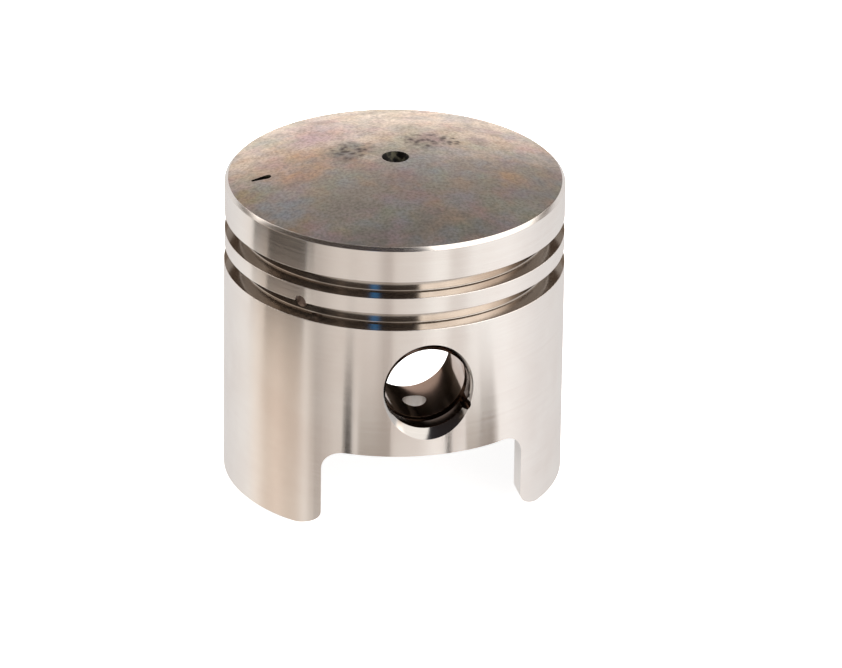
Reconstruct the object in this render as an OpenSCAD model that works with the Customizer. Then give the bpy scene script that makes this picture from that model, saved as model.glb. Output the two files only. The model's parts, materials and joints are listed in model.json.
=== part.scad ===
// Two-ring piston of a small two-stroke engine: a machined aluminium casting and its two ring pegs.
// Origin: where the gudgeon pin's axis crosses the cylinder's axis. +Z to the crown, pin along Y.
// Lengths are in millimetres.

/* [Skirt] */
// Diameter of the skirt, which runs in a 40.00 mm cylinder
skirt_d = 39.95; // [39.90:0.01:39.98]
// From the pin's axis down to the foot of the skirt
skirt_drop = 18.6; // [16:0.1:22]
// Thickness of the skirt's wall
skirt_wall = 2.6; // [2.2:0.1:3.2]
// Lead-in chamfer round the skirt's foot
foot_chamfer = 0.3; // [0.1:0.1:0.6]
// Width of the rounded corners at the skirt's foot, beside the cutaways
foot_corner_w = 4.6; // [3:0.1:5]
// Height of those rounded corners
foot_corner_h = 2.4; // [1.5:0.1:3]

/* [Cutaways] */
// Width of the cutaway under each boss
cutaway_w = 23.8; // [22:0.1:25]
// From the pin's axis down to the top of the cutaways
cutaway_drop = 8.1; // [8.1:0.1:10]
// Radius of the cutaways' upper corners
cutaway_corner_r = 2.5; // [1.5:0.1:3]

/* [Crown] */
// From the pin's axis up to the crown's rim
compression_h = 18.4; // [17.5:0.1:20]
// Rise of the domed crown above its rim
dome_rise = 2.6; // [1.5:0.1:3]
// Chamfer round the crown's rim
rim_chamfer = 0.4; // [0.2:0.1:0.6]
// Thickness of the crown in the middle
crown_wall = 5; // [4.8:0.1:6]
// Radius inside the crown, between its underside and the ring belt
crown_fillet_r = 4; // [2:0.5:5]

/* [Ring belt] */
// Height of the land above the upper ring
top_land_h = 4.3; // [3.5:0.1:5]
// Height of the land between the rings
second_land_h = 2; // [1.6:0.1:2.2]
// Width of each ring groove, for a 2 mm ring
groove_w = 2.02; // [2.01:0.01:2.06]
// Depth of each ring groove
groove_depth = 1.9; // [1.6:0.1:2.1]
// How far the lands stand inside the skirt's radius
land_relief = 0.08; // [0.05:0.01:0.12]
// Inner radius of the ring belt
belt_inner_r = 14.9; // [14:0.1:15.2]

/* [Gudgeon pin bosses] */
// Diameter of the pin bore
pin_bore_d = 10; // [9.9:0.05:10.1]
// Outer diameter of each boss
boss_d = 16; // [15:0.1:16]
// Gap between the bosses, for the connecting rod's small end
boss_gap = 15.5; // [14:0.1:16.5]
// Width of the web that joins each boss to the crown
boss_web_w = 12; // [10:0.5:14]
// Chamfer at each mouth of the pin bore
mouth_chamfer = 1.05; // [0.8:0.05:1.2]
// From the cylinder's axis to the middle of each circlip groove
circlip_y = 16.6; // [16.2:0.1:17]
// Width of each circlip groove
circlip_w = 1.1; // [0.9:0.1:1.3]
// Depth of each circlip groove
circlip_depth = 0.4; // [0.3:0.05:0.6]
// Diameter of the notch that lets a pick behind the circlip
notch_d = 1.2; // [1:0.1:2]
// Angle of the notch below the horizontal
notch_angle = 27; // [15:1:35]
// Diameter of the oil hole under each boss
oil_hole_d = 2.8; // [2:0.1:3]
// From the cylinder's axis to each oil hole
oil_hole_y = 11.8; // [11:0.1:12.5]

/* [Ring pegs] */
// Diameter of the pegs that stop the rings turning
peg_d = 1.5; // [1.2:0.1:1.6]
// Length of each peg
peg_len = 4; // [3.6:0.1:4.2]
// How far a peg's end sits below the lands
peg_recess = 0.3; // [0.2:0.05:0.5]
// Angle of each peg from the direction mark's side
peg_angle = 45; // [35:1:55]

/* [Crown marks] */
// Diameter of the lathe centre at the crown's surface
centre_d = 3.2; // [2.6:0.1:3.6]
// Diameter of the lathe centre's pilot hole
centre_pilot_d = 1.3; // [1:0.1:1.6]
// Depth of the pilot hole below the cone
centre_pilot_depth = 1; // [0.5:0.1:1.2]
// Distance of the direction mark from the axis
mark_r = 15.8; // [14.5:0.1:16.5]
// Angle of the direction mark off the side it points to, towards the far boss
mark_angle = 2; // [0:0.5:4]
// Length of the direction mark
mark_len = 2.3; // [1.8:0.1:2.8]
// Width of the direction mark at its wide end
mark_w = 1; // [0.8:0.1:1.3]
// Depth of the direction mark
mark_depth = 0.4; // [0.2:0.05:0.5]

/* [Hidden] */
$fn = 128;
fillet_steps = 6; // straight steps that round the crown's inner corner
foot_steps = 10; // straight steps that round a corner of the skirt's foot
reach = 1; // how far a cutting shape runs past the surface that it cuts
crown_bite = 1.2; // how far the bosses' webs run into the crown
wall_bite = 0.5; // how far the bosses run into the skirt's wall
belt_bite = 1.5; // how far the webs run into the ring belt
belt_step_gap = 0.5; // from the lower groove's floor down to the belt's full thickness
skirt_r = skirt_d / 2;
land_r = skirt_r - land_relief;
groove_root_r = land_r - groove_depth;
skirt_inner_r = skirt_r - skirt_wall;
upper_groove_top = compression_h - top_land_h;
upper_groove_floor = upper_groove_top - groove_w;
lower_groove_top = upper_groove_floor - second_land_h;
lower_groove_floor = lower_groove_top - groove_w;
belt_step_h = skirt_inner_r - belt_inner_r; // the step inside the skirt slopes at 45 degrees
belt_step_top = lower_groove_floor - belt_step_gap;
dome_base_r = land_r - rim_chamfer;
dome_r = (dome_base_r * dome_base_r + dome_rise * dome_rise) / (2 * dome_rise);
dome_centre_z = compression_h + dome_rise - dome_r;
crown_under_z = compression_h + dome_rise - crown_wall;
boss_end_y = skirt_inner_r + wall_bite;
web_end_y = belt_inner_r + belt_bite;
bore_r = pin_bore_d / 2;
centre_cone_h = (centre_d - centre_pilot_d) / 2 / tan(30); // a 60 degree centre
mark_top_z = dome_centre_z + sqrt(dome_r * dome_r - mark_r * mark_r);

// A cylinder along Y, centred on the pin's axis, from y_from to y_to
module along_y(radius, y_from, y_to, x = 0, z = 0) {
    translate([x, y_to, z])
        rotate([90, 0, 0])
            cylinder(r = radius, h = y_to - y_from);
}

// The outside as it leaves the lathe: skirt, lands, grooves, rim and dome
module turned_outside() {
    translate([0, 0, -skirt_drop])
        cylinder(r1 = skirt_r - foot_chamfer, r2 = skirt_r, h = foot_chamfer);
    translate([0, 0, foot_chamfer - skirt_drop])
        cylinder(r = skirt_r, h = lower_groove_floor + skirt_drop - foot_chamfer);
    translate([0, 0, lower_groove_floor])
        cylinder(r = groove_root_r, h = compression_h - rim_chamfer - lower_groove_floor);
    translate([0, 0, lower_groove_top])
        cylinder(r = land_r, h = second_land_h);
    translate([0, 0, upper_groove_top])
        cylinder(r = land_r, h = top_land_h - rim_chamfer);
    translate([0, 0, compression_h - rim_chamfer])
        cylinder(r1 = land_r, r2 = dome_base_r, h = rim_chamfer);
    intersection() {
        translate([0, 0, compression_h - rim_chamfer])
            cylinder(r = dome_base_r, h = dome_rise + rim_chamfer + reach);
        translate([0, 0, dome_centre_z])
            sphere(r = dome_r);
    }
}

// The round hollow inside the skirt, the ring belt and the crown, as one turned profile
module round_hollow() {
    corner = [belt_inner_r - crown_fillet_r, crown_under_z - crown_fillet_r];
    rotate_extrude()
        polygon([
            [0, -skirt_drop - reach],
            [skirt_inner_r, -skirt_drop - reach],
            [skirt_inner_r, belt_step_top - belt_step_h],
            [belt_inner_r, belt_step_top],
            for (a = [0 : 90 / fillet_steps : 90]) corner + crown_fillet_r * [cos(a), sin(a)],
            [0, crown_under_z]
        ]);
}

// One boss with its web up to the crown, on the +Y side. Their outer ends stay inside the wall
module boss() {
    along_y(boss_d / 2, boss_gap / 2, boss_end_y);
    translate([-boss_web_w / 2, boss_gap / 2, 0])
        cube([boss_web_w, web_end_y - boss_gap / 2, crown_under_z + crown_bite]);
}

// The opening under a boss, straight through both sides of the skirt
module cutaway() {
    half_w = cutaway_w / 2;
    corner_x = half_w - cutaway_corner_r;
    corner_z = -cutaway_drop - cutaway_corner_r;
    translate([-half_w, -skirt_d, -skirt_drop - reach])
        cube([cutaway_w, 2 * skirt_d, corner_z + skirt_drop + reach]);
    translate([-corner_x, -skirt_d, corner_z - reach])
        cube([2 * corner_x, 2 * skirt_d, cutaway_corner_r + reach]);
    for (side = [-1, 1])
        along_y(cutaway_corner_r, -skirt_d, skirt_d, x = side * corner_x, z = corner_z);
}

// What rounds the two foot corners beside the cutaways on the +X side, each a quarter of an ellipse
module foot_rounding() {
    half_w = cutaway_w / 2;
    middle = [half_w + foot_corner_w, foot_corner_h - skirt_drop];
    rotate([90, 0, 0])
        linear_extrude(height = 2 * skirt_d, center = true)
            polygon([
                [half_w - reach, -skirt_drop - reach],
                [middle[0], -skirt_drop - reach],
                for (i = [foot_steps : -1 : 0])
                    middle - [
                        foot_corner_w * cos(90 * i / foot_steps),
                        foot_corner_h * sin(90 * i / foot_steps)
                    ],
                [half_w - reach, middle[1]]
            ]);
}

// The cuts at one end of the pin bore: mouth chamfer, circlip groove, notch and oil hole
module bore_end() {
    mouth_y = skirt_r - mouth_chamfer;
    translate([0, skirt_r + reach, 0])
        rotate([90, 0, 0])
            cylinder(r1 = bore_r + mouth_chamfer + reach, r2 = bore_r, h = mouth_chamfer + reach);
    along_y(bore_r + circlip_depth, circlip_y - circlip_w / 2, circlip_y + circlip_w / 2);
    along_y(notch_d / 2, circlip_y - circlip_w / 2, mouth_y + mouth_chamfer + reach,
        x = bore_r * cos(notch_angle), z = -bore_r * sin(notch_angle));
    translate([0, oil_hole_y, -boss_d / 2 - reach])
        cylinder(d = oil_hole_d, h = boss_d / 2 + reach);
}

// Places a shape that lies along +X at a peg's angle and height
module at_peg(side, z) {
    translate([0, 0, z])
        rotate([0, 0, 180 + side * peg_angle])
            children();
}

// One peg, from its blind end to the tip that stands in the groove
module peg_shape() {
    translate([land_r - peg_recess - peg_len, 0, 0])
        rotate([0, 90, 0])
            cylinder(d = peg_d, h = peg_len);
}

// The drilled hole that a peg is pressed into, open to the outside
module peg_hole() {
    translate([land_r - peg_recess - peg_len, 0, 0])
        rotate([0, 90, 0])
            cylinder(d = peg_d, h = peg_len + peg_recess + reach);
}

// The centre left by the lathe in the middle of the crown
module lathe_centre() {
    top = compression_h + dome_rise;
    translate([0, 0, top - centre_cone_h])
        cylinder(d1 = centre_pilot_d, d2 = centre_d, h = centre_cone_h);
    translate([0, 0, top])
        cylinder(d = centre_d, h = reach);
    translate([0, 0, top - centre_cone_h - centre_pilot_depth])
        cylinder(d = centre_pilot_d, h = centre_pilot_depth + reach);
}

// The punched drop-shaped mark on the crown, its point towards the rim
module direction_mark() {
    inner_x = -mark_r + mark_len / 2 - mark_w / 2;
    tip_x = -mark_r - mark_len / 2;
    translate([0, 0, mark_top_z - mark_depth])
        linear_extrude(height = mark_depth + reach) {
            translate([inner_x, 0])
                circle(d = mark_w);
            polygon([
                [inner_x, mark_w / 2],
                [tip_x, mark_w / 5],
                [tip_x, -mark_w / 5],
                [inner_x, -mark_w / 2]
            ]);
        }
}

module piston_body() {
    color("silver")
        difference() {
            union() {
                difference() {
                    turned_outside();
                    round_hollow();
                }
                for (side = [0, 1])
                    mirror([0, side, 0])
                        boss();
            }
            cutaway();
            for (side = [0, 1])
                mirror([side, 0, 0])
                    foot_rounding();
            along_y(bore_r, -skirt_d, skirt_d);
            for (side = [0, 1])
                mirror([0, side, 0])
                    bore_end();
            at_peg(-1, upper_groove_top)
                peg_hole();
            at_peg(1, lower_groove_top)
                peg_hole();
            lathe_centre();
            rotate([0, 0, -mark_angle])
                direction_mark();
        }
}

module upper_ring_peg() {
    color("dimgray")
        at_peg(-1, upper_groove_top)
            peg_shape();
}

module lower_ring_peg() {
    color("dimgray")
        at_peg(1, lower_groove_top)
            peg_shape();
}

piston_body();
upper_ring_peg();
lower_ring_peg();
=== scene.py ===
"""A bare two-ring piston of a small two-stroke engine, on a pale bench in soft studio light.

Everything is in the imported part's frame: metres, +Z to the crown, the gudgeon pin's axis along Y.
"""
import json
import math

import bmesh
import bpy
from mathutils import Matrix, Vector


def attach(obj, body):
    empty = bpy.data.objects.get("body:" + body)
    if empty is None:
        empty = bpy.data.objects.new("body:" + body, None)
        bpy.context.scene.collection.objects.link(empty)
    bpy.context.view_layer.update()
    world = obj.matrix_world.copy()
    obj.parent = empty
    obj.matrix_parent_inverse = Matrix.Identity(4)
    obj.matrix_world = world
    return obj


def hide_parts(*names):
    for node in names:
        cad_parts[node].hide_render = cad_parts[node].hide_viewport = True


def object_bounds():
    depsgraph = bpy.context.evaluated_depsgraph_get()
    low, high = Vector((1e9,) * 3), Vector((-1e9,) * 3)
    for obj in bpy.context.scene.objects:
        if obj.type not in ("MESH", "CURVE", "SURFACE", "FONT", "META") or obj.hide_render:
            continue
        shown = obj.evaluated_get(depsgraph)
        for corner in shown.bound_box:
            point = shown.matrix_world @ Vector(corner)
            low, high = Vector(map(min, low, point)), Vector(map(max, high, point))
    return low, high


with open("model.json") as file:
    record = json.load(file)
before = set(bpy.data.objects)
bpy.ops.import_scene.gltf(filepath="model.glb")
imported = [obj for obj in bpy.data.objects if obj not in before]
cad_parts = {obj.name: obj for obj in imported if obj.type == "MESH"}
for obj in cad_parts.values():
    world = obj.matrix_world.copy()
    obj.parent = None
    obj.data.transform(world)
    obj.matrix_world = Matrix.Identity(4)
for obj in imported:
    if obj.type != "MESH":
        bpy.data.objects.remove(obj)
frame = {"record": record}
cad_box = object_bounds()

# ---------------------------------------------------------------- piston body
# One casting of high-silicon aluminium, poured round a core that leaves the crown, the pin bosses
# and their webs, then turned, grooved and bored. The new crown still has the stains of its heat
# treatment. Sizes are in millimetres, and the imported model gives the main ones.

MM = 0.001
low, high = (corner / MM for corner in cad_box)
mounts = {mount["name"]: mount for mount in frame["record"]["mounts"]}

skirt_r = high.x
foot_z = low.z
dome_top_z = high.z
bore_r = mounts["pin_bore"]["dims"]["r_mm"]
upper_groove_z = mounts["upper_ring_groove"]["pos_m"][2] / MM
lower_groove_z = mounts["lower_ring_groove"]["pos_m"][2] / MM

dome_rise = 2.6
land_relief = 0.08
groove_w = 2.02
groove_depth = 1.9
rim_chamfer = 0.4
foot_chamfer = 0.3
skirt_wall = 2.6
belt_inner_r = 14.9
crown_wall = 5.0
crown_fillet_r = 4.0
edge_break = 0.08
root_fillet = 0.2
overrun = 1.0
on_face = 0.01

land_r = skirt_r - land_relief
groove_root_r = land_r - groove_depth
rim_z = dome_top_z - dome_rise
dome_base_r = land_r - rim_chamfer
dome_r = (dome_base_r ** 2 + dome_rise ** 2) / (2 * dome_rise)
skirt_inner_r = skirt_r - skirt_wall
crown_under_z = dome_top_z - crown_wall

# The ways in which its surfaces were made, in the order of their material slots; the last slot
# holds the crown's recesses, painted near black as shade
TURNED, GROOVED, CROWN, CAST, BORED, MOUTH, CLIP, MILLED, RECESS_SHADE = range(9)


def rounded(corners, steps=5):
    """An outline through corners (u, v, rounding); a rounding is the radius of an arc."""
    outline = []
    for i, (u, v, rounding) in enumerate(corners):
        here = Vector((u, v))
        if rounding == 0:
            outline.append(here)
            continue
        before = (Vector(corners[i - 1][:2]) - here).normalized()
        after = (Vector(corners[(i + 1) % len(corners)][:2]) - here).normalized()
        half_angle = before.angle(after) / 2
        centre = here + (before + after).normalized() * (rounding / math.sin(half_angle))
        start = here + before * (rounding / math.tan(half_angle)) - centre
        end = here + after * (rounding / math.tan(half_angle)) - centre
        turn = start.angle_signed(end)
        for step in range(steps + 1):
            outline.append(centre + Matrix.Rotation(-turn * step / steps, 2) @ start)
    return [point for i, point in enumerate(outline) if (point - outline[i - 1]).length > 1e-5]


def new_mesh(name, bm, place):
    """An object from a bmesh in millimetres, put in place."""
    bmesh.ops.recalc_face_normals(bm, faces=bm.faces)
    bm.transform(Matrix.Scale(MM, 4) @ place)
    mesh = bpy.data.meshes.new(name)
    bm.to_mesh(mesh)
    bm.free()
    made = bpy.data.objects.new(name, mesh)
    bpy.context.collection.objects.link(made)
    return made


def turned(name, outline, facets, place=Matrix()):
    """A solid of revolution about Z; its outline (r, z) runs from the axis to the axis."""
    bm = bmesh.new()
    rings = []
    for r, z in outline:
        ring = []
        for i in range(facets if r > 1e-6 else 1):
            angle = 2 * math.pi * i / facets
            ring.append(bm.verts.new((r * math.cos(angle), r * math.sin(angle), z)))
        rings.append(ring)
    for one, two in zip(rings, rings[1:]):
        for i in range(facets):
            j = (i + 1) % facets
            corners = [one[i % len(one)], one[j % len(one)], two[j % len(two)], two[i % len(two)]]
            distinct = list(dict.fromkeys(corners))
            if len(distinct) > 2:
                bm.faces.new(distinct)
    return new_mesh(name, bm, place)


def pin(name, radius, start, end, facets=64, place=Matrix()):
    """A plain round solid from one height to another, for drilling and boring."""
    return turned(name, [(0, start), (radius, start), (radius, end), (0, end)], facets, place)


def extruded(name, outline, start, end, place=Matrix()):
    """A solid of the outline in X and Y, from one height to another."""
    bm = bmesh.new()
    near = [bm.verts.new((x, y, start)) for x, y in outline]
    far = [bm.verts.new((x, y, end)) for x, y in outline]
    bm.faces.new(near)
    bm.faces.new(far[::-1])
    for i in range(len(near)):
        j = (i + 1) % len(near)
        bm.faces.new([near[i], near[j], far[j], far[i]])
    return new_mesh(name, bm, place)


def apply(piece, kind, **settings):
    """Adds a modifier and bakes it into the piece's mesh."""
    modifier = piece.modifiers.new(kind.title(), kind)
    for key, value in settings.items():
        setattr(modifier, key, value)
    depsgraph = bpy.context.evaluated_depsgraph_get()
    shaped = bpy.data.meshes.new_from_object(piece.evaluated_get(depsgraph), depsgraph=depsgraph)
    piece.modifiers.clear()
    piece.data = shaped


def cut(piece, cutter, surface=None):
    """Takes the cutter out of the piece. The new faces get the surface's material slot."""
    if surface is not None:
        for polygon in cutter.data.polygons:
            polygon.material_index = surface
    apply(piece, "BOOLEAN", object=cutter, operation="DIFFERENCE", solver="EXACT",
          material_mode="INDEX")
    bpy.data.objects.remove(cutter)


along_y = Matrix.Rotation(-math.pi / 2, 4, "X")
xz_outline = Matrix.Rotation(math.pi / 2, 4, "X")

# The outside as it leaves the lathe, with every edge broken and every root as the tool leaves it
dome_steps = 24
groove_lip = 0.05
dome_half_angle = math.asin(dome_base_r / dome_r)
outside = [
    (0, foot_z, 0),
    (skirt_r - foot_chamfer, foot_z, edge_break),
    (skirt_r, foot_z + foot_chamfer, edge_break),
]
for groove_z, below_r in ((lower_groove_z, skirt_r), (upper_groove_z, land_r)):
    outside += [
        (below_r, groove_z - groove_w / 2, edge_break),
        (groove_root_r, groove_z - groove_w / 2, root_fillet),
        (groove_root_r, groove_z + groove_w / 2, root_fillet),
        (land_r, groove_z + groove_w / 2, edge_break),
    ]
outside.append((land_r, rim_z - rim_chamfer, edge_break))
for step in range(dome_steps + 1):
    angle = dome_half_angle * (1 - step / dome_steps)
    height = dome_top_z - dome_r + dome_r * math.cos(angle)
    outside.append((dome_r * math.sin(angle), height, 0 if step else edge_break))
body = turned("piston_body_visual", rounded(outside), facets=256)
for _ in range(RECESS_SHADE + 1):
    body.data.materials.append(None)
for polygon in body.data.polygons:
    centre = polygon.center / MM
    r = math.hypot(centre.x, centre.y)
    from_groove = min(abs(centre.z - lower_groove_z), abs(centre.z - upper_groove_z))
    if from_groove < groove_w / 2 + on_face and r < land_r - groove_lip:
        polygon.material_index = GROOVED
    elif centre.z > rim_z and r < dome_base_r:
        polygon.material_index = CROWN

# The core: the round hollow less the bosses and webs, with its corners blended as a casting's are
boss_r = 8.0
boss_face_y = 7.75
boss_end_y = skirt_inner_r + 2
web_half_w = 6.0
web_top_z = crown_under_z + 2
core_end_z = foot_z - 3
core_step_r = 1.0
core_step_top = lower_groove_z - groove_w / 2 - 0.5
core_voxel = 0.4
core = turned("core", rounded([
    (0, core_end_z, 0),
    (skirt_inner_r, core_end_z, 0),
    (skirt_inner_r, core_step_top - skirt_inner_r + belt_inner_r, core_step_r),
    (belt_inner_r, core_step_top, core_step_r),
    (belt_inner_r, crown_under_z, crown_fillet_r),
    (0, crown_under_z, 0),
]), facets=192)
web_outline = [(-web_half_w, 0), (web_half_w, 0), (web_half_w, web_top_z),
               (-web_half_w, web_top_z)]
for side in (-1, 1):
    ends = sorted((side * boss_face_y, side * boss_end_y))
    cut(core, pin("boss", boss_r, *ends, facets=96, place=along_y))
    cut(core, extruded("web", web_outline, -ends[1], -ends[0], place=xz_outline))
apply(core, "REMESH", mode="VOXEL", voxel_size=core_voxel * MM)
apply(core, "SMOOTH", factor=0.5, iterations=6)

# The milled cutaways under the bosses, and the rounded foot corners beside them
cutaway_half_w = 11.9
cutaway_top_z = -8.1
cutaway_corner_r = 2.5
foot_corner_w = 4.6
foot_corner_h = 2.4
corner_steps = 16
half_cutaway = [(cutaway_half_w + foot_corner_w, foot_z - overrun, 0)]
for step in range(corner_steps + 1):
    angle = math.pi / 2 * step / corner_steps
    half_cutaway.append((cutaway_half_w + foot_corner_w * (1 - math.sin(angle)),
                         foot_z + foot_corner_h * (1 - math.cos(angle)), 0))
half_cutaway.append((cutaway_half_w, cutaway_top_z, cutaway_corner_r))
other_half = [(-x, z, rounding) for x, z, rounding in reversed(half_cutaway)]
cutaway = extruded("cutaway", rounded(half_cutaway + other_half, steps=12),
                   -skirt_r - overrun, skirt_r + overrun, place=xz_outline)

# The pin bore with its chamfered mouths and circlip grooves, all cut in one setting. Its mesh is
# rotated a little about the bore, so that none of its points falls in the face of a boss
bore_turn = math.radians(0.7)
mouth_chamfer = 1.05
circlip_y = 16.6
circlip_w = 1.1
circlip_depth = 0.4
bore_break = 0.03
bore_outline = [
    (bore_r, circlip_y - circlip_w / 2, bore_break),
    (bore_r + circlip_depth, circlip_y - circlip_w / 2, bore_break),
    (bore_r + circlip_depth, circlip_y + circlip_w / 2, bore_break),
    (bore_r, circlip_y + circlip_w / 2, bore_break),
    (bore_r, skirt_r - mouth_chamfer, edge_break),
    (bore_r + mouth_chamfer + overrun, skirt_r + overrun, 0),
    (0, skirt_r + overrun, 0),
]
mirrored = [(r, -y, rounding) for r, y, rounding in reversed(bore_outline)]
bore = turned("bore", rounded(mirrored + bore_outline, steps=3), facets=160,
              place=along_y @ Matrix.Rotation(bore_turn, 4, "Z"))

# The pick notches, the oil holes, the peg holes, the lathe centre and the direction mark
notch_r = 0.6
notch_angle = math.radians(-27)
notch_start = 0.03
oil_hole_r = 1.4
oil_hole_y = 11.8
peg_r = 0.75
peg_len = 4.0
peg_recess = 0.3
peg_end_r = land_r - peg_recess
peg_angles = {"lower_ring_peg": math.radians(225), "upper_ring_peg": math.radians(135)}
peg_heights = {
    "lower_ring_peg": lower_groove_z + groove_w / 2,
    "upper_ring_peg": upper_groove_z + groove_w / 2,
}
centre_r = 1.6
centre_pilot_r = 0.65
centre_cone_h = (centre_r - centre_pilot_r) / math.tan(math.radians(30))
centre_pilot_depth = 1.0
mark_r = 15.8
mark_len = 2.3
mark_half_w = 0.5
mark_tip_half_w = 0.2
mark_depth = 0.4
mark_angle = math.radians(-2)
mark_top_z = dome_top_z - dome_r + math.sqrt(dome_r ** 2 - mark_r ** 2)


def radial(name):
    """Where a peg lies: its own Z along the radius, at its angle and height."""
    height = Matrix.Translation((0, 0, peg_heights[name]))
    outward = Matrix.Rotation(math.pi / 2, 4, "Y")
    return height @ Matrix.Rotation(peg_angles[name], 4, "Z") @ outward


# The peg holes' meshes are rotated too, to keep their points out of the roof of the groove
off_plane = Matrix.Rotation(math.radians(2), 4, "Z")
drills = []
notches = []
for side in (-1, 1):
    notch_ends = sorted((side * (circlip_y - circlip_w / 2 + notch_start),
                         side * (skirt_r + overrun)))
    beside = Matrix.Translation((bore_r * math.cos(notch_angle), 0,
                                 bore_r * math.sin(notch_angle)))
    notches.append(pin("notch", notch_r, *notch_ends, place=beside @ along_y))
    under = Matrix.Translation((0, side * oil_hole_y, 0))
    drills.append(pin("oil_hole", oil_hole_r, -boss_r - overrun, 0, place=under))
for name in peg_angles:
    drills.append(pin("peg_hole", peg_r, peg_end_r - peg_len, land_r + overrun,
                      place=radial(name) @ off_plane))
marks_in_crown = [turned("lathe_centre", [
    (0, dome_top_z - centre_cone_h - centre_pilot_depth),
    (centre_pilot_r, dome_top_z - centre_cone_h - centre_pilot_depth),
    (centre_pilot_r, dome_top_z - centre_cone_h),
    (centre_r, dome_top_z),
    (centre_r, dome_top_z + overrun),
    (0, dome_top_z + overrun),
], facets=64)]
round_end_x = -mark_r + mark_len / 2 - mark_half_w
tip_x = -mark_r - mark_len / 2
drop = [(tip_x, mark_tip_half_w), (tip_x, -mark_tip_half_w)]
arc_steps = 12
for step in range(arc_steps + 1):
    angle = -math.pi / 2 + math.pi * step / arc_steps
    drop.append((round_end_x + mark_half_w * math.cos(angle), mark_half_w * math.sin(angle)))
marks_in_crown.append(extruded("direction_mark", drop, mark_top_z - mark_depth,
                               mark_top_z + overrun, Matrix.Rotation(mark_angle, 4, "Z")))

for polygon in bore.data.polygons:
    centre = polygon.center / MM
    if abs(centre.y) > skirt_r - mouth_chamfer:
        polygon.material_index = MOUTH
    elif abs(centre.y) > circlip_y - circlip_w / 2 - on_face:
        polygon.material_index = CLIP
    else:
        polygon.material_index = BORED
cut(body, core, CAST)
cut(body, bore)
for cutter in notches:
    cut(body, cutter, CLIP)
for cutter in (cutaway, *drills):
    cut(body, cutter, MILLED)
# The lathe centre and the direction mark take the last slot, painted near black as the shade in
# their depth
for cutter in marks_in_crown:
    cut(body, cutter, RECESS_SHADE)

# Edges that the mill and the borer left are broken by hand. Those of the lathe are round already
sharp = math.radians(28)
hand_break = 0.1
same_point = 0.004
skirt_face_r = skirt_r - 0.3
skirt_face_top = lower_groove_z - 1.5
bm = bmesh.new()
bm.from_mesh(body.data)
bmesh.ops.remove_doubles(bm, verts=bm.verts, dist=same_point * MM)
bmesh.ops.dissolve_degenerate(bm, edges=bm.edges, dist=same_point * MM)
weights = bm.edges.layers.float.new("bevel_weight_edge")
for edge in bm.edges:
    if edge.is_manifold and edge.calc_face_angle() > sharp:
        inner = min(math.hypot(v.co.x, v.co.y) for v in edge.verts) / MM
        upper = max(v.co.z for v in edge.verts) / MM
        if inner > skirt_face_r and upper < skirt_face_top:
            edge[weights] = 1.0
bm.to_mesh(body.data)
bm.free()
apply(body, "BEVEL", limit_method="WEIGHT", width=hand_break * MM, segments=2,
      use_clamp_overlap=True, loop_slide=True, miter_outer="MITER_SHARP")

for polygon in body.data.polygons:
    polygon.use_smooth = True
body.data.set_sharp_from_angle(angle=sharp)
apply(body, "WEIGHTED_NORMAL", mode="FACE_AREA", weight=90, keep_sharp=True)


def srgb(hex_colour):
    """An sRGB hex colour as the linear RGBA that a shader takes."""
    parts = [int(hex_colour[i:i + 2], 16) / 255 for i in (1, 3, 5)]
    linear = [c / 12.92 if c <= 0.04045 else ((c + 0.055) / 1.055) ** 2.4 for c in parts]
    return (*linear, 1.0)


def add(tree, kind, inputs=None, stops=None, **settings):
    """Adds a node with its settings; an input is a value, or a socket to link to."""
    node = tree.nodes.new("ShaderNode" + kind)
    for key, value in settings.items():
        setattr(node, key, value)
    if stops:
        elements = node.color_ramp.elements
        while len(elements) < len(stops):
            elements.new(0.5)
        for element, (position, colour) in zip(elements, stops):
            element.position = position
            element.color = srgb(colour)
    for key, value in (inputs or {}).items():
        if isinstance(value, bpy.types.NodeSocket):
            tree.links.new(value, node.inputs[key])
        else:
            node.inputs[key].default_value = value
    return node


def new_material(name):
    """A material with an empty node tree."""
    material = bpy.data.materials.new(name)
    material.use_nodes = True
    material.node_tree.nodes.clear()
    return material


def finish_material(material, shader):
    """Makes the shader the material's surface."""
    add(material.node_tree, "OutputMaterial", {"Surface": shader.outputs[0]})
    return material


def marks(tree, place, pitch_mm, long_mm, along):
    """Tool marks as a height: one pitch apart along an axis, and long the other two ways."""
    scale = {axis: 1 / (long_mm * MM) for axis in "XYZ"}
    scale[along] = 1 / (pitch_mm * MM)
    squeeze = add(tree, "Mapping", {"Vector": place, "Scale": tuple(scale.values())})
    noise = add(tree, "TexNoise", {"Vector": squeeze.outputs[0], "Scale": 1.0, "Detail": 3.0,
                                   "Roughness": 0.6})
    return noise.outputs["Fac"]


def cloud(tree, place, size_mm, detail=4.0, seed=0.0):
    """Soft blotches of about that size."""
    shift = add(tree, "Mapping", {"Vector": place, "Location": (seed, -seed, seed * 0.7)})
    noise = add(tree, "TexNoise", {"Vector": shift.outputs[0], "Scale": 1 / (size_mm * MM),
                                   "Detail": detail, "Roughness": 0.55})
    return noise.outputs["Fac"]


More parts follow.
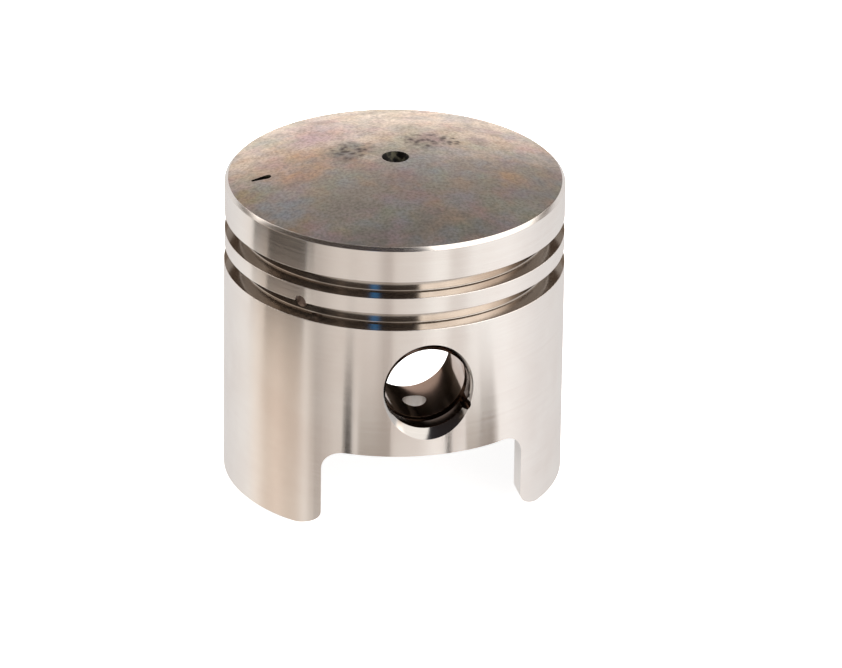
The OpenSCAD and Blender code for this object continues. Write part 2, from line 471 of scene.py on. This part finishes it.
def machined_alloy(name, base, stain, roughness, pitch_mm, depth_mm, anisotropy, axis="Z"):
    """Aluminium cut by a tool that goes round an axis: bright, its highlights drawn out across
    the feed marks, which also show as faint lines. They are drawn several times coarser than the
    real 0.05 mm ones, so that they show."""
    material = new_material(name)
    tree = material.node_tree
    place = add(tree, "TexCoord").outputs["Object"]
    feed = marks(tree, place, pitch_mm, 80, axis)
    wear = add(tree, "Math", {0: feed, 1: 0.4, 2: cloud(tree, place, 9)}, operation="MULTIPLY_ADD")
    tone = add(tree, "ValToRGB", {"Fac": wear.outputs[0]}, stops=[(0.5, stain), (0.85, base)])
    bump = add(tree, "Bump", {"Height": feed, "Distance": depth_mm * MM})
    polish = add(tree, "MapRange", {"Value": feed, "From Min": 0.3, "From Max": 0.7,
                                    "To Min": roughness * 0.9, "To Max": roughness * 1.1})
    shader = add(tree, "BsdfPrincipled", {
        "Base Color": tone.outputs["Color"],
        "Metallic": 1.0,
        "Roughness": polish.outputs[0],
        "Anisotropic": anisotropy,
        "Anisotropic Rotation": 0.25,
        "Tangent": add(tree, "Tangent", direction_type="RADIAL", axis=axis).outputs[0],
        "Normal": bump.outputs[0],
    })
    return finish_material(material, shader)


# Blotches of the oxide film: centre x and y, radius, colour and strength
CROWN_STAINS = (
    (-14.3, -8.0, 3.6, "#8895A3", 0.65), (-11.0, 1.5, 5.0, "#C79C78", 0.55),
    (-17.8, -3.0, 2.6, "#97875A", 0.6), (-13.5, -12.0, 2.5, "#A07E56", 0.5),
    (-7.0, 10.5, 4.5, "#B79BA6", 0.5), (2.3, -2.5, 4.0, "#9391A0", 0.5),
    (12.9, -4.0, 3.5, "#C09B70", 0.45), (-0.6, -5.6, 2.5, "#A5807A", 0.4),
    (1.2, -10.8, 3.0, "#A58279", 0.35), (16.5, -4.0, 3.0, "#85837F", 0.6),
    (-4.8, 3.0, 2.8, "#665658", 0.65), (4.6, 4.6, 2.8, "#776860", 0.6),
    (-3.0, 0.4, 1.3, "#D5CFC2", 0.6),
)
# Where soot has left specks: centre x and y, and radius
SPECK_CLUSTERS = ((-4.8, 3.0, 2.7), (4.4, 4.6, 2.7), (7.6, 4.4, 1.6))


def patch(tree, place, x_mm, y_mm, size_mm):
    """How far a spot on the crown lies inside a ragged round patch: 1 in the middle, 0 outside."""
    ragged = cloud(tree, place, size_mm * 0.6, 3.0, 0.001 * size_mm)
    flat = add(tree, "VectorMath", {0: place, 1: (1, 1, 0)}, operation="MULTIPLY").outputs[0]
    away = add(tree, "VectorMath", {0: flat, 1: (x_mm * MM, y_mm * MM, 0)},
               operation="DISTANCE").outputs["Value"]
    warped = add(tree, "Math", {0: ragged, 1: -size_mm * MM * 1.6, 2: away},
                 operation="MULTIPLY_ADD").outputs[0]
    return add(tree, "MapRange", {
        "Value": warped, "From Min": -0.3 * size_mm * MM, "From Max": 0.4 * size_mm * MM,
        "To Min": 1.0, "To Max": 0.0}).outputs[0]


def stained_and_shaded_crown():
    """Turned aluminium dulled by heat treatment: a matt film of oxide in clouds of grey, tan, mauve
    and blue-green, with a fine grain and a few clusters of dark specks. Under them lies painted
    shade: the crown is dark grey at the front and pale cream at the back."""
    material = new_material("heat_stained_crown_painted_shade")
    tree = material.node_tree
    place = add(tree, "TexCoord").outputs["Object"]
    # Painted shade: a gradient across Y, with a cloudy edge, makes the front of the crown dark grey
    # and the back pale cream
    across_crown = add(tree, "SeparateXYZ", {"Vector": place}).outputs["Y"]
    wander = add(tree, "Math", {0: cloud(tree, place, 8, 3.0), 1: 9 * MM, 2: across_crown},
                 operation="MULTIPLY_ADD").outputs[0]
    painted_shade_across_crown = add(tree, "MapRange", {"Value": wander, "From Min": -13 * MM,
                                  "From Max": 20 * MM}).outputs[0]
    colour = add(tree, "ValToRGB", {"Fac": painted_shade_across_crown}, stops=[
        (0.0, "#7C7772"), (0.25, "#918A83"), (0.5, "#A39A92"), (0.72, "#CEBFB1"),
        (1.0, "#EADBCD")]).outputs["Color"]
    for x_mm, y_mm, size_mm, tint, strength in CROWN_STAINS:
        where = patch(tree, place, x_mm, y_mm, size_mm)
        where = add(tree, "Math", {0: where, 1: strength}, operation="MULTIPLY").outputs[0]
        colour = add(tree, "Mix", {0: where, 6: colour, 7: srgb(tint)},
                     data_type="RGBA").outputs[2]
    for seed, size_mm, tint, strength in ((0.11, 4, "#AC8C9C", 0.4), (0.23, 5, "#8FA088", 0.32),
                                          (0.37, 4, "#BE946E", 0.28), (0.51, 3, "#8896A8", 0.3),
                                          (0.67, 2, "#8C8680", 0.4)):
        where = add(tree, "MapRange", {
            "Value": cloud(tree, place, size_mm, 2.0, seed), "From Min": 0.48, "From Max": 0.68,
            "To Max": strength}).outputs[0]
        colour = add(tree, "Mix", {0: where, 6: colour, 7: srgb(tint)},
                     data_type="RGBA").outputs[2]
    grain = cloud(tree, place, 0.35, 3.0)
    grey = add(tree, "ValToRGB", {"Fac": grain}, stops=[(0.32, "#BDB9B6"), (0.62, "#FFFFFF")])
    colour = add(tree, "Mix", {0: 0.8, 6: colour, 7: grey.outputs["Color"]},
                 data_type="RGBA", blend_type="MULTIPLY").outputs[2]
    # More painted shade: a multiply along the same gradient darkens the front of the crown further
    painted_front_shade = add(tree, "ValToRGB", {"Fac": painted_shade_across_crown}, stops=[
        (0.0, "#A8A6A4"), (0.3, "#BBB8B5"), (0.5, "#D2CFCD"), (0.72, "#F4F1EF"), (1.0, "#FCFBFA")])
    colour = add(tree, "Mix", {0: 1.0, 6: colour, 7: painted_front_shade.outputs["Color"]},
                 data_type="RGBA", blend_type="MULTIPLY").outputs[2]
    swirl = add(tree, "TexNoise", {"Vector": place, "Scale": 1 / (0.7 * MM), "Detail": 1.0})
    bent = add(tree, "VectorMath", {0: swirl.outputs["Color"], 1: (0.7 * MM,) * 3, 2: place},
               operation="MULTIPLY_ADD")
    dots = add(tree, "TexVoronoi", {"Vector": bent.outputs[0], "Scale": 1 / (1.0 * MM)},
               voronoi_dimensions="2D")
    specks = add(tree, "MapRange", {
        "Value": dots.outputs["Distance"], "From Min": 0.12, "From Max": 0.5,
        "To Min": 0.95, "To Max": 0.0}).outputs[0]
    near = None
    for x_mm, y_mm, size_mm in SPECK_CLUSTERS:
        cluster = patch(tree, place, x_mm, y_mm, size_mm)
        near = cluster if near is None else add(tree, "Math", {0: near, 1: cluster},
                                                operation="MAXIMUM").outputs[0]
    where = add(tree, "Math", {0: specks, 1: near}, operation="MULTIPLY").outputs[0]
    colour = add(tree, "Mix", {0: where, 6: colour, 7: srgb("#362A27")},
                 data_type="RGBA").outputs[2]
    bump = add(tree, "Bump", {"Height": grain, "Distance": 0.01 * MM})
    shader = add(tree, "BsdfPrincipled", {
        "Base Color": colour,
        "Metallic": 0.35,
        "Roughness": 0.5,
        "Normal": bump.outputs[0],
    })
    return finish_material(material, shader)


def shaded_cast_alloy():
    """Aluminium as it leaves the mould: matt, with the orange-peel skin of the core wash, and
    painted a dark grey as the shade inside the hollow piston.
    """
    material = new_material("as_cast_aluminium_painted_shade")
    tree = material.node_tree
    place = add(tree, "TexCoord").outputs["Object"]
    skin = cloud(tree, place, 0.7, 4.0)
    tone = add(tree, "ValToRGB", {"Fac": cloud(tree, place, 5)},
               stops=[(0.3, "#6F6860"), (0.7, "#958D84")])
    bump = add(tree, "Bump", {"Height": skin, "Distance": 0.06 * MM})
    polish = add(tree, "MapRange", {"Value": skin, "From Min": 0.3, "From Max": 0.7,
                                    "To Min": 0.42, "To Max": 0.6})
    shader = add(tree, "BsdfPrincipled", {
        "Base Color": tone.outputs["Color"],
        "Metallic": 1.0,
        "Roughness": polish.outputs[0],
        "Normal": bump.outputs[0],
    })
    return finish_material(material, shader)


def recess_shade_alloy():
    """The recesses in the crown: aluminium painted near black in soft blotches, as painted shade in
    the deep holes.
    """
    material = new_material("recess_aluminium_painted_shade")
    tree = material.node_tree
    place = add(tree, "TexCoord").outputs["Object"]
    recess_shade_blotches = cloud(tree, place, 1.0, 2.0)
    tone = add(tree, "ValToRGB", {"Fac": recess_shade_blotches}, stops=[(0.5, "#0D0B09"), (0.66, "#5A5748")])
    polish = add(tree, "MapRange", {"Value": recess_shade_blotches, "From Min": 0.3, "From Max": 0.7,
                                    "To Min": 0.35, "To Max": 0.6})
    shader = add(tree, "BsdfPrincipled", {
        "Base Color": tone.outputs["Color"],
        "Metallic": 0.6,
        "Roughness": polish.outputs[0],
    })
    return finish_material(material, shader)


finishes = {
    # The skirt and lands, finished with a fine pointed tool: almost white, with long reflections
    TURNED: machined_alloy("turned_aluminium", "#F7F3EF", "#F0E9E4", roughness=0.19,
                           pitch_mm=0.2, depth_mm=0.0001, anisotropy=0.9),
    # The grooves, cut with a form tool: painted greyer than the skirt as the shade in the recess,
    # and glossier
    GROOVED: machined_alloy("groove_aluminium_painted_shade", "#C7C0B9", "#B0A69D", roughness=0.12,
                            pitch_mm=0.3, depth_mm=0.0001, anisotropy=0.5),
    CROWN: stained_and_shaded_crown(),
    CAST: shaded_cast_alloy(),
    # The bore, sized by a boring bar: an almost clear mirror, painted warmer and darker than the
    # skirt as the shade of light bouncing inside it
    BORED: machined_alloy("bored_aluminium_painted_shade", "#DCCCC2", "#C8B4A8", roughness=0.1,
                          pitch_mm=0.3, depth_mm=0.0001, anisotropy=0.3, axis="Y"),
    # The bore's mouths, countersunk in the same setting: a narrow grey cone with one sharp glint
    MOUTH: machined_alloy("countersunk_aluminium", "#C6C4C2", "#BAB7B4", roughness=0.12,
                          pitch_mm=0.3, depth_mm=0.0001, anisotropy=0.3, axis="Y"),
    # The circlip grooves and notches: painted dark brown as the shade in them, and satin
    CLIP: machined_alloy("clip_groove_painted_shade", "#7A6252", "#4A3A2F", roughness=0.2,
                         pitch_mm=0.3, depth_mm=0.0001, anisotropy=0.3, axis="Y"),
    # The cutaways and drilled holes, left as the mill cut them: white and matt
    MILLED: machined_alloy("milled_aluminium", "#FBF9F7", "#F5F2F0", roughness=0.35,
                           pitch_mm=0.3, depth_mm=0.0002, anisotropy=0.3, axis="Y"),
    RECESS_SHADE: recess_shade_alloy(),
}
for slot_index, finish in finishes.items():
    body.data.materials[slot_index] = finish
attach(body, "root")
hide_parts("piston_body")

# ---------------------------------------------------------------- ring pegs
# Two steel pins, cut from drawn wire, pressed into holes drilled through the roof of each groove.
# Half of each stands in its groove, in the ring's gap, and stops the ring turning.

peg_edge = 0.12
peg_outline = rounded([
    (0, peg_end_r - peg_len, 0), (peg_r, peg_end_r - peg_len, peg_edge),
    (peg_r, peg_end_r, peg_edge), (0, peg_end_r, 0),
], steps=4)

# Drawn steel wire under a film of burnt oil: a dark brown grey with a soft sheen and small dents
peg_wire = new_material("oiled_steel_wire")
tree = peg_wire.node_tree
place = add(tree, "TexCoord").outputs["Object"]
oil = cloud(tree, place, 0.8, 3.0)
tone = add(tree, "ValToRGB", {"Fac": oil}, stops=[(0.35, "#4E4038"), (0.65, "#8F8078")])
dents = add(tree, "Bump", {"Height": cloud(tree, place, 0.25, 2.0), "Distance": 0.01 * MM})
sheen = add(tree, "MapRange", {"Value": oil, "From Min": 0.3, "From Max": 0.7,
                               "To Min": 0.45, "To Max": 0.3})
finish_material(peg_wire, add(tree, "BsdfPrincipled", {
    "Base Color": tone.outputs["Color"],
    "Metallic": 1.0,
    "Roughness": sheen.outputs[0],
    "Normal": dents.outputs[0],
}))
for name in peg_angles:
    peg = turned(name + "_visual", peg_outline, 48, place=radial(name))
    for polygon in peg.data.polygons:
        polygon.use_smooth = True
    peg.data.set_sharp_from_angle(angle=sharp)
    apply(peg, "WEIGHTED_NORMAL", mode="FACE_AREA", weight=90, keep_sharp=True)
    peg.data.materials.append(peg_wire)
    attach(peg, "root")
    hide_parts(name)

# ---------------------------------------------------------------- bench and light
# A bench of white laminate, inside a tent of pale and dark cards, with a broad soft lamp above.
# The cards show only as reflections in the metal. Dark ones also lie flat on the bench, where
# each darkens one band of the skirt.

bpy.ops.mesh.primitive_plane_add(size=3.0, location=(0, 0, foot_z * MM))
bench = bpy.context.object
bench.name = "bench"
bench_paint = new_material("white_laminate")
tree = bench_paint.node_tree
finish_material(bench_paint, add(tree, "BsdfPrincipled", {
    "Base Color": srgb("#F7F6F4"), "Roughness": 0.7,
    "Emission Color": srgb("#FFFFFF"), "Emission Strength": 0.9,
}))
bench.data.materials.append(bench_paint)
bench.visible_glossy = False

camera_azimuth = math.radians(-12.53)
camera_elevation = math.radians(25.6)
card_drop = 0.05


def flag(name, wall_from, wall_to, near_mm, far_mm, colour):
    """A dark card that lies on the bench and shows only in the metal. It fills what the skirt
    mirrors between two angles round its wall, from one distance off the wall to another."""
    bm = bmesh.new()
    strips = 16
    pairs = []
    for i in range(strips + 1):
        turned_by = math.radians(wall_from + (wall_to - wall_from) * i / strips)
        wall = camera_azimuth + turned_by
        ray = camera_azimuth + 2 * turned_by
        pairs.append([bm.verts.new((skirt_r * math.sin(wall) + far * math.sin(ray),
                                    -skirt_r * math.cos(wall) - far * math.cos(ray),
                                    foot_z - card_drop)) for far in (near_mm, far_mm)])
    for one, two in zip(pairs, pairs[1:]):
        bm.faces.new((*one, *reversed(two)))
    card = new_mesh(name, bm, Matrix())
    cloth = new_material(name + "_cloth")
    finish_material(cloth, add(cloth.node_tree, "Emission", {"Color": srgb(colour)}))
    card.data.materials.append(cloth)
    card.visible_camera = False
    card.visible_diffuse = False
    card.visible_shadow = False
    card.visible_transmission = False


# Angles are degrees round the wall from the side that faces the camera, to the right positive
flag("flag_left_end", -54.8, -48.0, 70, 250, "#1C1612")
flag("flag_left", -48.0, -31.0, 56, 250, "#0A0806")
flag("flag_left_tip", -31.0, -27.3, 72, 250, "#0A0806")
flag("flag_front_left", -16.4, -13.7, 2, 42, "#060504")
flag("flag_front", -11.5, -0.5, 6, 34, "#A69C93")
flag("flag_right", 18.7, 20.5, 6, 34, "#2A2420")
flag("flag_far_right", 26.0, 38.4, 8, 32, "#ABA198")
flag("flag_far_right_core", 31.2, 36.8, 7, 36, "#6A5E55")

# What the open skirt stands over: the bench in the piston's own shade
shade_r = 7
shade_x = -3.5
shade = pin("shaded_bench", shade_r, foot_z - 2 * card_drop, foot_z - card_drop, facets=96,
            place=Matrix.Translation((shade_x, 0, 0)))
shade_paint = new_material("shaded_laminate")
finish_material(shade_paint, add(shade_paint.node_tree, "Emission", {"Color": srgb("#2E241D")}))
shade.data.materials.append(shade_paint)
shade.visible_camera = False
shade.visible_diffuse = False
shade.visible_shadow = False

# The tent: three rings of cards, one above the other, each a ramp of colours round the compass
world = bpy.data.worlds.new("light_tent")
bpy.context.scene.world = world
world.use_nodes = True
tree = world.node_tree
tree.nodes.clear()
direction = add(tree, "TexCoord").outputs["Generated"]
axes = add(tree, "SeparateXYZ", {"Vector": direction}).outputs
minus_y = add(tree, "Math", {0: axes["Y"], 1: -1.0}, operation="MULTIPLY").outputs[0]
bearing = add(tree, "Math", {0: axes["X"], 1: minus_y}, operation="ARCTAN2").outputs[0]
turn = add(tree, "Math", {0: bearing, 1: -camera_azimuth}, operation="ADD").outputs[0]
laps = add(tree, "Math", {0: turn, 1: 1 / (2 * math.pi), 2: 0.5},
           operation="MULTIPLY_ADD").outputs[0]
lap = add(tree, "Math", {0: laps}, operation="FRACT").outputs[0]


def panels(stops):
    """A ring of cards: (bearing in degrees from the camera, to the right positive, colour)."""
    return add(tree, "ValToRGB", {"Fac": lap},
               stops=[((angle + 180) / 360, colour) for angle, colour in stops]).outputs["Color"]


# Level with the piston: pale card all round, a little darker where two sheets meet
low_ring = panels([
    (-180, "#CDCAC8"), (-140, "#D6D3D1"), (-116, "#E0DCD8"), (-106, "#E7DDD3"), (-95, "#CFC0B2"),
    (-85, "#DCCCBE"), (-76, "#CABCAF"), (-68, "#CABCB0"), (-61, "#E2DBD4"), (-57, "#C4BAB1"),
    (-54, "#A8A09A"), (-47, "#BCB3AC"), (-38, "#CBC3BC"), (-12, "#D2CBC5"), (-6, "#BBB3AD"),
    (-2, "#B8AFA9"), (1, "#D0C9C3"), (18, "#D6D0CB"), (28, "#E9E5E1"), (36, "#E9E5E1"),
    (40, "#D2CBC6"), (47, "#D6D0CC"), (56, "#EBE8E5"), (84, "#EDEAE8"), (115, "#DAD7D6"),
    (180, "#CDCAC8"),
])
# Above it: the dark room, one narrow blue card, and a bright white one at the right
high_ring = panels([
    (-180, "#544A42"), (-150, "#382E27"), (-118, "#1F1914"), (-104, "#251E19"),
    (-95, "#1C1611"), (-86, "#120E0A"), (-52, "#0F0B08"), (-42, "#28211B"), (-39, "#453C35"),
    (-36, "#241E19"), (-18, "#241E19"), (-15.5, "#2A6BA6"), (-12, "#2A6BA6"), (-9.5, "#1B1612"),
    (15, "#221D19"), (18, "#2B2622"), (21, "#FFFCF7"), (52, "#FFFBF5"), (72, "#F6EFE8"),
    (88, "#CFC5BB"), (100, "#7D7167"), (116, "#2A221C"), (150, "#382E27"), (180, "#544A42"),
])
# Overhead: a pale ceiling, with a dark strip over the left and the front
over_ring = panels([
    (-180, "#B8B2AC"), (-150, "#C4BEB8"), (-113, "#C4BEB8"), (-108, "#1C1611"), (-98, "#1A140F"),
    (26, "#1E1C1E"), (32, "#26262A"), (38, "#C8C5C1"), (150, "#C4BEB8"), (180, "#B8B2AC"),
])
rising = add(tree, "MapRange", {"Value": axes["Z"], "From Min": 0.28, "From Max": 0.38},
             interpolation_type="SMOOTHSTEP").outputs[0]
near_top = add(tree, "MapRange", {"Value": axes["Z"], "From Min": 0.46, "From Max": 0.54},
               interpolation_type="SMOOTHSTEP").outputs[0]
lower = add(tree, "Mix", {0: rising, 6: low_ring, 7: high_ring}, data_type="RGBA").outputs[2]
tent = add(tree, "Mix", {0: near_top, 6: lower, 7: over_ring}, data_type="RGBA").outputs[2]
strength = add(tree, "MapRange", {"Value": rising, "To Min": 1.16, "To Max": 3.0}).outputs[0]
background = add(tree, "Background", {"Color": tent, "Strength": strength})
add(tree, "OutputWorld", {"Surface": background.outputs[0]})

lamp_data = bpy.data.lights.new("overhead_softbox", "AREA")
lamp_data.shape = "DISK"
lamp_data.size = 0.5
lamp_data.energy = 3.6
lamp = bpy.data.objects.new("overhead_softbox", lamp_data)
lamp.location = (0.05, 0.05, 0.6)
lamp.visible_glossy = False
bpy.context.collection.objects.link(lamp)

# The camera, with a long lens, a slight roll, and its aim given from the middle of the foot
camera_roll = math.radians(-0.76)
camera_distance = 0.8715
aim_right = 0.003247
aim_up = 0.015093
back = Vector((math.sin(camera_azimuth) * math.cos(camera_elevation),
               -math.cos(camera_azimuth) * math.cos(camera_elevation), math.sin(camera_elevation)))
right = Vector((math.cos(camera_azimuth), math.sin(camera_azimuth), 0))
up = back.cross(right)
aim = Vector((0, 0, foot_z * MM)) + right * aim_right + up * aim_up
rolled_right = right * math.cos(camera_roll) - up * math.sin(camera_roll)
rolled_up = right * math.sin(camera_roll) + up * math.cos(camera_roll)
camera_data = bpy.data.cameras.new("camera")
camera_data.lens = 313.9
camera_data.sensor_width = 36.0
camera = bpy.data.objects.new("camera", camera_data)
camera.matrix_world = Matrix.Translation(aim + back * camera_distance) @ Matrix(
    (rolled_right, rolled_up, back)).transposed().to_4x4()
bpy.context.collection.objects.link(camera)
bpy.context.scene.camera = camera
bpy.context.scene.view_settings.view_transform = "Standard"
